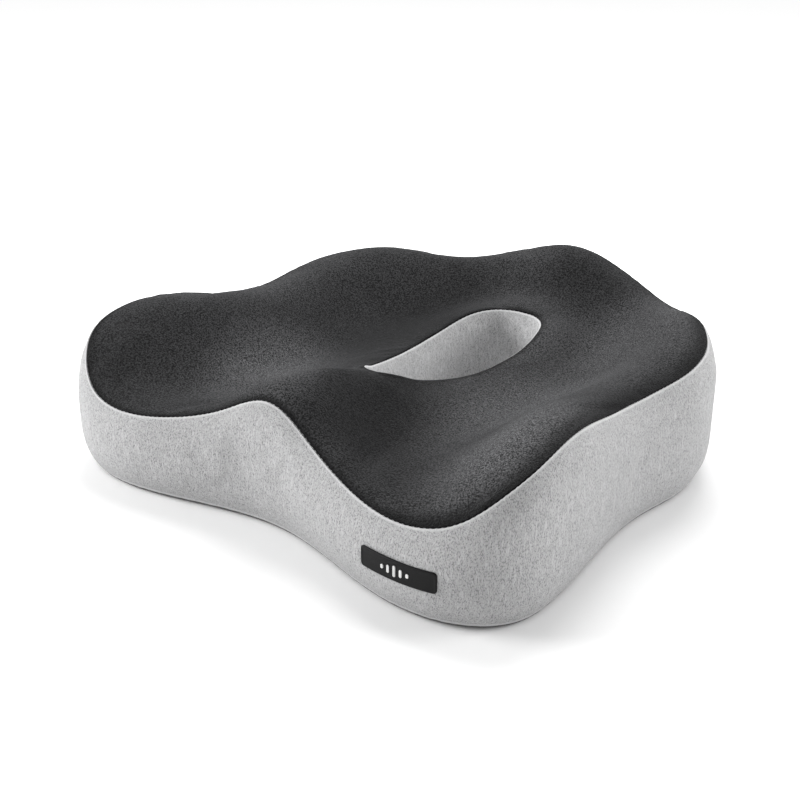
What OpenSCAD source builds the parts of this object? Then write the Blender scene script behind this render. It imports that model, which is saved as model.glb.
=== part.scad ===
/* [Outline] */
// Width across the front lobes
cushion_w = 445; // [370:1:534]
// Depth from the label on the front lobes to the round back
cushion_d = 445; // [370:1:534]
// Radius of the round back
back_r = 222; // [185:1:267]
// Angle from the side at which the round back starts
back_angle = 36; // [30:1:42]
// How far the front centre sits behind the lobes
notch_depth = 27; // [10:1:50]
// Length of the lobe corner across the front
lobe_x = 80; // [60:1:96]
// Length of the lobe corner along the side
lobe_y = 64; // [50:1:80]
// How far the waist draws in on each side
waist_in = 17; // [5:1:30]
// How far the hips draw in on each side
hip_in = 11; // [5:1:30]

/* [Seam heights] */
// Front centre hump
hump_h = 103; // [85:1:124]
// Thigh grooves in the front edge
groove_h = 65; // [60:1:78]
// Side bolsters on the lobes
bolster_h = 117; // [97:1:141]
// Waist between lobe and hip
waist_h = 100; // [83:1:120]
// Back corners
corner_h = 112; // [93:1:135]
// Dips beside the back hump
dip_h = 101; // [84:1:122]
// Back centre hump
back_h = 125; // [104:1:150]
// Rise of the top above its edge seam
crown = 4; // [1:0.5:6]
// Rise of the front ridge above the edge seam in front of it
ridge_rise = 11; // [6:0.5:14]

/* [Well] */
// Length of the through opening, front to back
well_len = 196; // [163:1:236]
// Distance of its middle behind the origin
well_y = 25; // [15:1:35]
// Width at its middle
well_w = 72; // [60:1:87]
// How much wider the back half is than the front half
well_taper = 20; // [0:1:26]
// Height of the rim at the front end
rim_front_h = 91; // [76:1:109]
// Height of the rim along the sides
rim_side_h = 73; // [61:1:88]
// Height of the rim at the back end
rim_back_h = 85; // [71:1:102]

/* [Cloth] */
// Thickness of the cover cloth
cover_t = 1.6; // [1.2:0.1:2]
// Thickness of the inner cover cloth
liner_t = 0.6; // [0.5:0.1:0.8]
// Thickness of the seam threads
thread_d = 1.2; // [1:0.1:1.5]
// Height of the grip dots
dot_h = 1; // [0.8:0.1:1.2]
// Diameter of the grip dots
dot_d = 8; // [6:0.5:10]
// Spacing of the grip dots
dot_gap = 42; // [35:1:50]

/* [Zip] */
// Height of the zip's middle above the floor
zip_h = 46; // [44:1:50]
// Width of the opening between the cloth edges
zip_slot = 10; // [9:0.5:12]
// Angle of the open zip, seen from the middle of the round back
zip_angle = 72; // [60:12:84]
// Depth of the hollow behind the zip
zip_pocket = 3.6; // [3.4:0.1:5]
// Width of each tape
tape_w = 13; // [10:0.5:14]
// Length of the pull tab
pull_len = 24; // [20:1:30]

/* [Label] */
// Length of the label patch
label_len = 60; // [50:1:70]
// Height of the label patch
label_h = 15; // [12:0.5:18]
// How far its middle sits outside the start of the lobe corner
label_shift = 3; // [-5:0.5:5]
// Height of its middle above the floor
label_z = 36; // [36:0.5:38]
// Thickness of the label patch
label_t = 1.2; // [0.8:0.1:2]
// How far its rim and mark stand out
mark_t = 0.4; // [0.3:0.1:0.6]

/* [Hidden] */

$fn = 48;
gap = 0.05;                     // between pieces that lie against each other
run_gap = 0.4;                  // around the sliding and swinging pieces

half_w = cushion_w / 2;
front_y = cushion_d / 2 - label_t - mark_t;
back_cy = cushion_d / 2 - back_r;
base_in = 10;                   // how far the wall draws in at the base seam
base_round = 28;                // height of that lower curve
seam_in = 8;                    // how far the wall draws in at the top seam
seam_round = 22;                // height of that upper curve
well_flare = 3;                 // widening of the well at its upper rim
inner_d = cover_t + liner_t;    // depth of the foam below the outer skin
step = 6;                       // angle between stations on the round back

// ---- curves ----

function mix(a, b, t) = a + (b - a) * t;
function ease(t) = t * t * (3 - 2 * t);
function hermite(p, m, q, n, t) =
    (2 * pow(t, 3) - 3 * t * t + 1) * p + (pow(t, 3) - 2 * t * t + t) * m
    + (3 * t * t - 2 * pow(t, 3)) * q + (pow(t, 3) - t * t) * n;

// slope at knot i of a list of [position, value], flat at both ends
function slope(k, i) = i == 0 || i == len(k) - 1 ? 0
    : (k[i + 1][1] - k[i - 1][1]) / (k[i + 1][0] - k[i - 1][0]);
function span(k, x, i = 0) = i >= len(k) - 2 || x < k[i + 1][0] ? i : span(k, x, i + 1);
function curve_in(k, x, i) = let (w = k[i + 1][0] - k[i][0])
    hermite(k[i][1], slope(k, i) * w, k[i + 1][1], slope(k, i + 1) * w, (x - k[i][0]) / w);
function curve(k, x) = curve_in(k, x, span(k, x));

// ---- outline: right half from the front centre to the back centre ----

waist_p = [half_w - waist_in, -12];
hip_p = [half_w - hip_in, 52];
arc_p = [back_r * cos(back_angle), back_cy + back_r * sin(back_angle)];
arc_m = 100 * [-sin(back_angle), cos(back_angle)];

half_outline = concat(
    [for (i = [0:6]) let (t = i / 7)
        [t * (half_w - lobe_x), notch_depth * (1 - ease(t)) - front_y]],
    [for (i = [0:6]) let (a = i * 90 / 7)
        [half_w - lobe_x + lobe_x * pow(sin(a), 0.92),
         lobe_y - front_y - lobe_y * pow(cos(a), 0.92)]],
    [for (i = [0:5]) let (t = i / 6)
        [mix(half_w, waist_p[0], ease(t)), mix(lobe_y - front_y, waist_p[1], t)]],
    [for (i = [0:2]) let (t = i / 3)
        [mix(waist_p[0], hip_p[0], ease(t)), mix(waist_p[1], hip_p[1], t)]],
    [for (i = [0:2]) hermite(hip_p, [0, 100], arc_p, arc_m, i / 3)],
    [for (a = [back_angle:step:90]) [back_r * cos(a), back_cy + back_r * sin(a)]]);

half_n = len(half_outline) - 1;
n = 2 * half_n;
outline = concat(half_outline,
    [for (i = [half_n - 1:-1:1]) [-half_outline[i][0], half_outline[i][1]]]);

function unit(v) = v / norm(v);
function turned(v) = [v[1], -v[0]];
normals = [for (j = [0:n - 1])
    turned(unit(outline[(j + 1) % n] - outline[(j + n - 1) % n]))];

// angle of a station from the side, -90 at the front centre and 90 at the back centre
angles = [for (p = outline) atan2(p[1], abs(p[0]))];

// ---- heights ----

seam_knots = [
    [-90, hump_h], [-75, mix(groove_h, hump_h, 0.35)], [-60, groove_h],
    [-50, mix(groove_h, bolster_h, 0.14)], [-40, mix(groove_h, bolster_h, 0.72)],
    [-30, bolster_h], [-15, mix(waist_h, bolster_h, 0.3)], [0, waist_h],
    [35, corner_h], [47, mix(dip_h, corner_h, 0.45)], [60, dip_h],
    [75, mix(dip_h, back_h, 0.48)], [90, back_h]];
seam_z = [for (a = angles) curve(seam_knots, a)];

// height of the seat's low line between the well and the edge
floor_knots = [
    [-90, rim_front_h + 17], [-75, rim_side_h + 12], [-60, rim_side_h - 3],
    [-45, rim_side_h - 5], [-25, rim_side_h - 7], [0, rim_side_h - 9],
    [30, rim_side_h - 6], [60, rim_side_h + 5], [90, rim_side_h + 20]];
floor_z = [for (a = angles) curve(floor_knots, a)];

// height of the crest inside the edge seam
crest_z = [for (j = [0:n - 1]) seam_z[j]
    + curve([[-90, ridge_rise], [-62, crown], [90, crown]], angles[j])];

// ---- well ----

function egg(a, out) = let (s = sin(a), c = cos(a))
    [sign(c) * pow(abs(c), 0.8) * (well_w / 2 + well_taper / 2 * s + out),
     well_y + sign(s) * pow(abs(s), 0.9) * (well_len / 2 + out)];
well_a = [for (p = outline) atan2(p[1] - well_y, p[0])];
rim_knots = [
    [-1, rim_front_h], [-0.7, mix(rim_side_h, rim_front_h, 0.45)], [-0.3, rim_side_h + 1],
    [0, rim_side_h], [0.35, mix(rim_side_h, rim_back_h, 0.3)],
    [0.7, mix(rim_side_h, rim_back_h, 0.85)], [1, rim_back_h]];
rim_z = [for (a = well_a) curve(rim_knots, sin(a))];

// ---- rings of points at a depth below the outer skin ----

function wall_ring(inset, z) = [for (j = [0:n - 1])
    let (p = outline[j] - normals[j] * inset) [p[0], p[1], z[j]]];
function level(z) = [for (j = [0:n - 1]) z];

base_steps = [0, 0.22, 0.55, 1];
seam_steps = [0, 0.5, 0.8, 1];
function base_rings(d) = [for (t = base_steps)
    wall_ring(base_in * pow(1 - t, 2) + d, level(dot_h + t * base_round + (t == 0 ? d : 0)))];
function seam_rings(d) = [for (t = seam_steps)
    wall_ring(seam_in * t * t + d,
        [for (z = seam_z) z - seam_round * (1 - t) - (t == 1 ? d : 0)])];
function wall_rings(d) = concat(base_rings(d), seam_rings(d));

// the wall behind the zip keeps a hollow for the tapes and the slider
function in_pocket(j) = let (a = atan2(outline[j][1] - back_cy, outline[j][0]))
    abs(a - 90) < zip_angle / 2 + 2 * step - 1;
function pocket_rings(d) = let (w = wall_rings(d)) [for (k = [0:len(w) - 1])
    [for (j = [0:n - 1]) let (deep = k > 1 && k < 6 && in_pocket(j) ? zip_pocket : 0)
        w[k][j] - deep * [normals[j][0], normals[j][1], 0]]];

top_steps = [1, 0.975, 0.93, 0.86, 0.76, 0.64, 0.52, 0.4, 0.28, 0.16, 0.06, 0];
low_at = 0.42;                  // where the low line lies between the well and the edge
crest_at = 0.86;                // where the crest lies
function top_height(j, s) = let (
        low = floor_z[j], crest = crest_z[j], rim = rim_z[j],
        lean = (crest - rim) / crest_at)
    s < low_at ? hermite(rim, (low - rim) * 0.8, low, lean * low_at, s / low_at)
    : s < crest_at ? hermite(low, lean * (crest_at - low_at), crest, 0,
        (s - low_at) / (crest_at - low_at))
    : hermite(crest, 0, seam_z[j], 2 * (seam_z[j] - crest), (s - crest_at) / (1 - crest_at));
function top_ring(s, d) = [for (j = [0:n - 1]) let (
        rim = egg(well_a[j], well_flare + d),
        edge = outline[j] - normals[j] * (seam_in + d),
        p = mix(rim, edge, s))
    [p[0], p[1], top_height(j, s) - d]];
function top_rings(d) = [for (s = top_steps) top_ring(s, d)];

function well_ring(out, z) = [for (j = [0:n - 1])
    let (p = egg(well_a[j], out)) [p[0], p[1], z[j]]];
function well_rings(d) = [
    well_ring(well_flare + d, [for (z = rim_z) z - d]),
    well_ring(well_flare * 0.35 + d, [for (z = rim_z) z - 5]),
    well_ring(d, [for (z = rim_z) z - 14]),
    well_ring(d, level(dot_h + d))];

function floor_rings(d) = [well_ring(d, level(dot_h + d)), wall_ring(base_in + d, level(dot_h + d))];

// ---- solids from rings ----

function flat_list(rings) = [for (r = rings) for (p = r) p];
function quad(a, b, c, e) = [[a, b, c], [a, c, e]];
// outer and inner are matching lists of rings, and the edges between them are closed
module cloth(outer, inner, closed = true) {
    rows = len(outer);
    cols = len(outer[0]);
    half = rows * cols;
    function pick(k, j, side) = side * half + k * cols + j;
    points = concat(flat_list(outer), flat_list(inner));
    outside = [for (k = [0:rows - 2]) for (j = [0:cols - (closed ? 1 : 2)])
        let (m = (j + 1) % cols) for (f = quad(
            pick(k, j, 0), pick(k, m, 0), pick(k + 1, m, 0), pick(k + 1, j, 0))) f];
    inside = [for (f = outside) [f[2] + half, f[1] + half, f[0] + half]];
    ends = [for (j = [0:cols - (closed ? 1 : 2)]) let (m = (j + 1) % cols, r = rows - 1)
        for (f = concat(
            quad(pick(0, m, 0), pick(0, j, 0), pick(0, j, 1), pick(0, m, 1)),
            quad(pick(r, j, 0), pick(r, m, 0), pick(r, m, 1), pick(r, j, 1)))) f];
    sides = closed ? [] : [for (k = [0:rows - 2]) let (c = cols - 1) for (f = concat(
        quad(pick(k, 0, 0), pick(k + 1, 0, 0), pick(k + 1, 0, 1), pick(k, 0, 1)),
        quad(pick(k + 1, c, 0), pick(k, c, 0), pick(k, c, 1), pick(k + 1, c, 1)))) f];
    polyhedron(points, concat(outside, inside, ends, sides));
}

// a solid whose rings close on themselves both ways
module ring_solid(rings) {
    rows = len(rings);
    cols = len(rings[0]);
    polyhedron(flat_list(rings), [for (k = [0:rows - 1]) for (j = [0:cols - 1]) let (
            k2 = (k + 1) % rows, m = (j + 1) % cols)
        for (f = quad(k * cols + j, k * cols + m, k2 * cols + m, k2 * cols + j)) f]);
}

function sector(rings, first, last) = [for (r = rings) [for (j = [first:last]) r[(j + n) % n]]];

// a thread of 6 sides along a ring, on the side that out and up point to
module thread(ring, out, up) {
    r = thread_d / 2;
    centre = [for (j = [0:n - 1]) ring[j]
        + (r + 2 * gap) * unit([normals[j][0] * out, normals[j][1] * out, up])];
    ring_solid([for (k = [0:5]) [for (j = [0:n - 1]) centre[j]
        + r * [normals[j][0] * cos(k * 60), normals[j][1] * cos(k * 60), sin(k * 60)]]]);
}

// ---- cover ----

// stations where the rear band meets the side band
join_j = half_n - round((zip_angle / 2 + step) / step);
zip_j = half_n - round(zip_angle / 2 / step);

module top_panel() color([0.2, 0.2, 0.21])
    cloth(top_rings(0), top_rings(cover_t));

module side_band() color([0.74, 0.74, 0.75])
    cloth(sector(wall_rings(0), -join_j, join_j),
        sector(wall_rings(cover_t), -join_j, join_j), false);

module rear_band_upper() color([0.74, 0.74, 0.75])
    cloth(rear_part(0, true), rear_part(cover_t, true), false);

module rear_band_lower() color([0.74, 0.74, 0.75])
    cloth(rear_part(0, false), rear_part(cover_t, false), false);

function rear_part(d, upper) = sector(
    upper ? concat([wall_ring(d, level(zip_h + zip_slot / 2))], seam_rings(d))
    : concat(base_rings(d), [wall_ring(d, level(zip_h - zip_slot / 2))]), join_j, n - join_j);

module well_lining() color([0.72, 0.72, 0.73])
    cloth(well_rings(0), well_rings(cover_t));

module base_panel() color([0.1, 0.1, 0.1])
    cloth(floor_rings(0), floor_rings(cover_t));

function inside_outline(p, edge) = let (
        a = atan2(p[1], abs(p[0])),
        reach = lookup(a, [for (j = [0:half_n]) [angles[j], norm(outline[j])]]),
        b = atan2(p[1] - well_y, p[0]),
        hole = norm(egg(b, 0) - [0, well_y]))
    norm(p) < reach - base_in - edge && norm(p - [0, well_y]) > hole + edge;

module grip_dots() color([0.16, 0.16, 0.16])
    for (i = [-5:5]) for (k = [-6:6]) let (p = [dot_gap * (i + (k % 2 == 0 ? 0 : 0.5)),
            dot_gap * k * sin(60)])
        if (inside_outline(p, 2 * dot_d)) translate([p[0], p[1], 0])
            cylinder(d = dot_d, h = dot_h, $fn = 24);

module top_seam() color([0.85, 0.85, 0.86])
    thread(wall_ring(seam_in, seam_z), 1, 1);

module base_seam() color([0.3, 0.3, 0.3])
    thread(wall_ring(base_in, level(dot_h)), 1, 0);

module well_thread(z, flare, up) {
    r = thread_d / 2;
    ring_solid([for (k = [0:5]) [for (j = [0:n - 1]) let (
            p = egg(well_a[j], flare - (r + gap) - r * cos(k * 60)))
        [p[0], p[1], z[j] + up - r * sin(k * 60)]]]);
}

module well_top_seam() color([0.85, 0.85, 0.86])
    well_thread(rim_z, well_flare, 0);

module well_base_seam() color([0.3, 0.3, 0.3])
    well_thread(level(dot_h + thread_d / 2), 0, 0);

// ---- labels ----

label_x = half_w - lobe_x + label_shift;

module skin_layer(low, high) linear_extrude(height = label_z + label_h, convexity = 4)
    difference() {
        polygon([for (p = wall_ring(-high, level(0))) [p[0], p[1]]]);
        polygon([for (p = wall_ring(-low, level(0))) [p[0], p[1]]]);
    }

module rounded(w, h, r) union() {
    square([w - 2 * r, h], center = true);
    square([w, h - 2 * r], center = true);
    for (x = [-1, 1]) for (y = [-1, 1]) translate([x * (w / 2 - r), y * (h / 2 - r)]) circle(r);
}

module on_front() translate([label_x, 0, label_z]) rotate([90, 0, 0])
    linear_extrude(height = 2 * front_y) children();

module label_patch() color([0.07, 0.07, 0.07]) union() {
    intersection() {
        skin_layer(0, label_t);
        on_front() rounded(label_len, label_h, 2.5);
    }
    intersection() {
        skin_layer(label_t, label_t + mark_t);
        on_front() difference() {
            rounded(label_len, label_h, 2.5);
            rounded(label_len - 2.4, label_h - 2.4, 1.6);
        }
    }
}

// a plain row of upright bars of rising and falling length
bar_heights = [3, 5.5, 8, 5.5, 3];
module label_mark() color([0.9, 0.9, 0.9]) intersection() {
    skin_layer(label_t, label_t + mark_t);
    on_front() for (i = [0:4]) translate([(i - 2) * 5, 0])
        rounded(2, bar_heights[i], 0.9);
}

// ---- zip, on a cylinder about the middle of the round back ----

module arc_ring(r_low, r_high, z_low, z_high, from, to)
    translate([0, back_cy, 0]) rotate([0, 0, from])
        rotate_extrude(angle = to - from, $fn = 720)
            translate([r_low, z_low]) square([r_high - r_low, z_high - z_low]);

chord = cos(step / 2);          // a straight facet of the cloth lies this much nearer
tape_r = (back_r - cover_t) * chord - gap;
tape_t = 0.6;
coil_in = 0.7;                  // half the channel between the two coils
coil_w = 2.2;
coil_r = tape_r + 2.2;
zip_from = 90 - zip_angle / 2;
zip_to = 90 + zip_angle / 2;
stop_angle = 0.5;
slider_half = 1.4;              // half the slider's length, as an angle
slider_at = zip_to - 2 * stop_angle - slider_half - 0.5;

module tape(side) color([0.14, 0.14, 0.15])
    arc_ring(tape_r - tape_t, tape_r,
        side > 0 ? zip_h + coil_in : zip_h - tape_w,
        side > 0 ? zip_h + tape_w : zip_h - coil_in, zip_from - step + 1, zip_to + step - 1);
module coil(side) color([0.2, 0.2, 0.21])
    arc_ring(tape_r, coil_r,
        side > 0 ? zip_h + coil_in : zip_h - coil_in - coil_w,
        side > 0 ? zip_h + coil_in + coil_w : zip_h - coil_in, zip_from + 1, zip_to - 1);

module zip_tape_upper() tape(1);
module zip_tape_lower() tape(-1);
module zip_coil_upper() coil(1);
module zip_coil_lower() coil(-1);

module zip_stops() color([0.5, 0.5, 0.52])
    for (at = [zip_from, zip_to - stop_angle])
        arc_ring(tape_r, coil_r + 0.3, zip_h - 3.2, zip_h + 3.2, at, at + stop_angle);

module zip_end_tabs() color([0.7, 0.7, 0.71]) for (j = [join_j, n - zip_j])
    cloth(end_part(0, j), end_part(cover_t, j), false);
function end_part(d, j) = sector([wall_ring(d, level(zip_h - zip_slot / 2)),
    wall_ring(d, level(zip_h + zip_slot / 2))], j, j + zip_j - join_j);

plate_in = coil_r + run_gap;    // inner face of the slider's outer plate
plate_t = 1.2;
plate_half = coil_in + coil_w + run_gap + 0.8;
pin_r = 0.6;
pin_at = plate_in + plate_t + pin_r + run_gap;
bridge_half = 1.2;

module slider_arc(r_low, r_high, z_half, from, to)
    arc_ring(r_low, r_high, zip_h - z_half, zip_h + z_half, slider_at + from, slider_at + to);

module zip_slider() color([0.45, 0.45, 0.47]) union() {
    slider_arc(plate_in, plate_in + plate_t, plate_half, -slider_half, slider_half);
    slider_arc(tape_r - tape_t - run_gap - 1, tape_r - tape_t - run_gap,
        plate_half, -slider_half, slider_half);
    slider_arc(tape_r - tape_t - run_gap - 0.5, plate_in + 0.5,
        coil_in - 0.25, slider_half - 0.5, slider_half);
    for (side = [-1, 1]) let (z = zip_h + side * (plate_half - 0.4))
        arc_ring(coil_r - 1.2, plate_in + 0.5, z - 0.4, z + 0.4,
            slider_at - slider_half, slider_at + slider_half);
    slider_arc(pin_at + pin_r + run_gap, pin_at + pin_r + run_gap + 0.8, bridge_half, -0.9, 0.9);
    for (a = [-0.9, 0.65])
        slider_arc(plate_in + plate_t - 0.3, pin_at + pin_r + run_gap + 0.4,
            bridge_half, a, a + 0.25);
}

module zip_pull_tab() color([0.5, 0.5, 0.52])
    translate([0, back_cy, 0]) rotate([0, 0, slider_at]) translate([pin_at, 0, zip_h]) {
        cylinder(r = pin_r, h = 6.4, center = true);
        for (side = [-1, 1]) translate([-pin_r, 0, side * 2.4 - 0.8])
            cube([2 * pin_r, 7, 1.6]);
        translate([-pin_r, 6, -3.2]) cube([2 * pin_r, pull_len - 6, 6.4]);
    }

module care_label() color([0.93, 0.93, 0.92])
    arc_ring(back_r + gap, back_r + gap + 0.4, zip_h + 12, zip_h + 40,
        zip_to + step - 5, zip_to + step);

// ---- inner cover and foam ----

module liner_top() color([0.95, 0.95, 0.94])
    cloth(top_rings(cover_t), top_rings(inner_d));

module liner_band() color([0.95, 0.95, 0.94])
    cloth(pocket_rings(cover_t), pocket_rings(inner_d));

module liner_well() color([0.95, 0.95, 0.94])
    cloth(well_rings(cover_t), well_rings(inner_d));

module liner_base() color([0.95, 0.95, 0.94])
    cloth(floor_rings(cover_t), floor_rings(inner_d));

module foam_core() color([0.93, 0.9, 0.78]) {
    wall = pocket_rings(inner_d);
    top = top_rings(inner_d);
    well = well_rings(inner_d);
    ring_solid(concat(wall, [for (k = [1:len(top) - 1]) top[k]],
        [for (k = [1:len(well) - 1]) well[k]]));
}

top_panel();
side_band();
rear_band_upper();
rear_band_lower();
well_lining();
base_panel();
grip_dots();
top_seam();
base_seam();
well_top_seam();
well_base_seam();
label_patch();
label_mark();
care_label();
zip_tape_upper();
zip_tape_lower();
zip_coil_upper();
zip_coil_lower();
zip_slider();
zip_pull_tab();
zip_stops();
zip_end_tabs();
liner_top();
liner_band();
liner_well();
liner_base();
foam_core();
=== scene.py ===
import math
import bmesh
import bpy
import numpy as np
from mathutils import Matrix, Vector, kdtree, noise
from mathutils.bvhtree import BVHTree


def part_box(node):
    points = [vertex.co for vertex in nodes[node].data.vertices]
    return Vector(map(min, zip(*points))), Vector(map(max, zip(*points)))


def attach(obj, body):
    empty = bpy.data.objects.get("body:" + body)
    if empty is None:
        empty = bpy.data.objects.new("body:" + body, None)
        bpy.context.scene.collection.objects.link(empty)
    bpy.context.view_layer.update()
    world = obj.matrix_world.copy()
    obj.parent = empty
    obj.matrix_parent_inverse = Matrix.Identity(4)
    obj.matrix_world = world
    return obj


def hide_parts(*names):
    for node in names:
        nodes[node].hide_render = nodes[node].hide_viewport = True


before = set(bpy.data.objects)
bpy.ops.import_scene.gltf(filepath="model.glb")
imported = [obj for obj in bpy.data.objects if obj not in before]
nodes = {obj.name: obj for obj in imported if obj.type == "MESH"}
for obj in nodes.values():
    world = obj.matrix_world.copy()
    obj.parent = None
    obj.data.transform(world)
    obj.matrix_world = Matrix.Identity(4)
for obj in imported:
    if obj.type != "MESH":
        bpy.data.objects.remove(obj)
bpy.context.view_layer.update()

scene = bpy.context.scene
mm = 0.001
weldGap = 0.01 * mm          # points of one cloth closer than this are one point
seamGap = 0.05 * mm          # the same, where two cloths meet

# camera: turn and height in degrees, distance and aim in metres, lens and sensor in millimetres

view = {
    "turn": 39.96, "height": 22.947, "far": 1.125,
    "aim": (-0.0841, 0.0577, 0.0), "lens": 55.5, "sensor": 36,
}


def addCamera():
    turn, height = math.radians(view["turn"]), math.radians(view["height"])
    back = Vector((math.sin(turn) * math.cos(height), -math.cos(turn) * math.cos(height), math.sin(height)))
    data = bpy.data.cameras.new("camera")
    data.lens, data.sensor_width = view["lens"], view["sensor"]
    camera = bpy.data.objects.new("camera", data)
    scene.collection.objects.link(camera)
    camera.location = Vector(view["aim"]) + back * view["far"]
    camera.rotation_mode = "QUATERNION"
    camera.rotation_quaternion = (-back).to_track_quat("-Z", "Y")
    scene.camera = camera


addCamera()
print("camera placed")

# helpers


def ease(a, b, x):
    t = np.clip((x - a) / (b - a), 0, 1)
    return t * t * (3 - 2 * t)


def pointsOf(mesh):
    flat = np.zeros(len(mesh.vertices) * 3)
    mesh.vertices.foreach_get("co", flat)
    return flat.reshape(-1, 3)


def normalsOf(mesh):
    flat = np.zeros(len(mesh.vertices) * 3)
    mesh.vertices.foreach_get("normal", flat)
    return flat.reshape(-1, 3)


def movePoints(mesh, points):
    mesh.vertices.foreach_set("co", np.asarray(points, np.float32).ravel())
    mesh.update()


def addPiece(name, source, finish, body="cushion", stands=()):
    # turns a bmesh or a mesh into a finished piece that rides on its body
    if isinstance(source, bmesh.types.BMesh):
        mesh = bpy.data.meshes.new(name)
        source.to_mesh(mesh)
        source.free()
    else:
        mesh = source
        mesh.name = name
    mesh.materials.clear()
    mesh.materials.append(finish)
    mesh.polygons.foreach_set("material_index", [0] * len(mesh.polygons))
    mesh.polygons.foreach_set("use_smooth", [True] * len(mesh.polygons))
    mesh.update()
    piece = bpy.data.objects.new(name, mesh)
    scene.collection.objects.link(piece)
    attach(piece, body)
    if stands:
        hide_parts(*stands)
    return piece


def thicken(piece, depth):
    wall = piece.modifiers.new("cloth thickness", "SOLIDIFY")
    wall.thickness, wall.offset = depth, -1
    wall.use_even_offset = False
    return piece


def repeatShape(shape, places):
    # one mesh with a copy of the bmesh at each place
    mesh = bpy.data.meshes.new("one")
    shape.to_mesh(mesh)
    shape.free()
    copies = [bpy.data.objects.new("copy", mesh) for place in places]
    first = bpy.data.objects.new("joined", bpy.data.meshes.new("joined"))
    for copy, place in zip(copies, places):
        scene.collection.objects.link(copy)
        copy.matrix_world = place
    scene.collection.objects.link(first)
    bpy.context.view_layer.update()
    chosen = [first, *copies]
    with bpy.context.temp_override(active_object=first, object=first, selected_objects=chosen,
                                   selected_editable_objects=chosen):
        bpy.ops.object.join()
    joined = first.data
    bpy.data.objects.remove(first)
    return joined


def takeIn(whole, part):
    # adds one bmesh to another and frees it
    mesh = bpy.data.meshes.new("part")
    part.to_mesh(mesh)
    part.free()
    whole.from_mesh(mesh)
    bpy.data.meshes.remove(mesh)


def sharpEdges(bm, degrees):
    return [e for e in bm.edges if e.is_manifold and e.calc_face_angle(0) > math.radians(degrees)]


def bevelEdges(bm, edges, size, steps=2):
    return bmesh.ops.bevel(bm, geom=edges, offset=size, segments=steps, profile=0.5,
                           affect="EDGES", material=-1, clamp_overlap=True)


# the sewn cover as one skin, one material index to each panel

cutFacts = {
    "tall": 26 * mm,         # faces taller than this get more rows
    "bandFoot": 29 * mm,     # where the tall faces of the side band start
    "rearFoot": 51 * mm,     # where those of the rear band above the zip start
    "slot": (41 * mm, 51 * mm),    # heights of the cloth edges beside the zip
    "near": 0.3 * mm,
    "least": 6 * mm,
}
skinFacts = {
    "pressure": 4.0,         # of the padding under the cloth
    "stiffness": 0.4,
    "shrink": -0.01,
    "frames": 16,
    "cap": 2.6 * mm,         # how far the padding may lift the cloth
    "capAtZip": 0.5 * mm,
    "zipArc": (40, 50),      # degrees from the middle of the back over which that ends
    "zipFade": (14 * mm, 30 * mm),
    "capAtLabel": 1.0 * mm,
    "labelFade": 12 * mm,
    "labelFront": -150 * mm,    # only in front of this
    "footShare": 0.15,       # the share of the lift that is left at the floor
    "footFade": (3 * mm, 16 * mm),
    "tuck": 1.0 * mm,        # depth of the valley along a seam
    "roll": 1.0 * mm,        # half the width of that valley
    "baseTuck": 0.8 * mm,    # the seams under the base go up into it instead
    "foot": 4 * mm,          # seams lower than this are under the base
    "pucker": 0.55 * mm,
    "puckerScales": (95, 210, 17),    # creases, finer creases, and how patchy they are
    "puckerStart": 2.5 * mm,
    "puckerReach": 13 * mm,
    "puckerFoot": 6 * mm,    # no creases below this
}
zipFacts = {
    "middle": Vector((0, 0.5 * mm, 46 * mm)),
    "slot": 5 * mm,          # half the opening between the cloth edges
    "coilRadius": 222.25 * mm,
    "from": 54.0,            # degrees round the back
    "to": 126.0,
    "sliderAt": 123.1,
    "pinRadius": 224.85 * mm,
    "outside": 0.26,         # clear of the whole back
}
labelFacts = {
    "x": 145.5 * mm, "z": 36 * mm,
    "long": 60 * mm, "high": 15 * mm, "thick": 1.2 * mm, "corner": 2.5 * mm,
    "seat": 0.55 * mm,       # how far its back stands off the band's plain shape
    "rim": 0.9 * mm, "rimHigh": 0.35 * mm,
    "slope": 0.5 * mm, "sunk": 0.25 * mm,
    "edge": 0.25 * mm,
    "slice": 2 * mm,         # length of the flat steps that bend round the band
    "bars": (3 * mm, 5.5 * mm, 8 * mm, 5.5 * mm, 3 * mm),
    "barWide": 2 * mm, "barCorner": 0.9 * mm, "barPitch": 5 * mm, "barHigh": 0.6 * mm,
    "barEdge": 0.12 * mm, "barCrown": 0.06 * mm,
    "barSeat": 1.7 * mm,     # how far the bars' backs stand off, just inside the patch
}

panels = ["top_panel", "side_band", "rear_band_upper", "rear_band_lower",
          "well_lining", "base_panel", "zip_end_tabs"]
topId, bandId, upperId, lowerId, wellId, baseId, tabId = range(7)
wellLow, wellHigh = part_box("well_lining")
wellMiddle = (wellLow + wellHigh) / 2


def facesOut(face, panel):
    # the outer face of a cloth, not its lining side or its cut edges
    middle = face.calc_center_median()
    if panel == topId:
        return face.normal.z > 0.15
    if panel == baseId:
        return face.normal.z < -0.9
    if panel == wellId:
        away = wellMiddle - middle
        return face.normal.to_2d().dot(away.to_2d().normalized()) > 0.3
    return face.normal.to_2d().dot(middle.to_2d().normalized()) > 0.3


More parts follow.
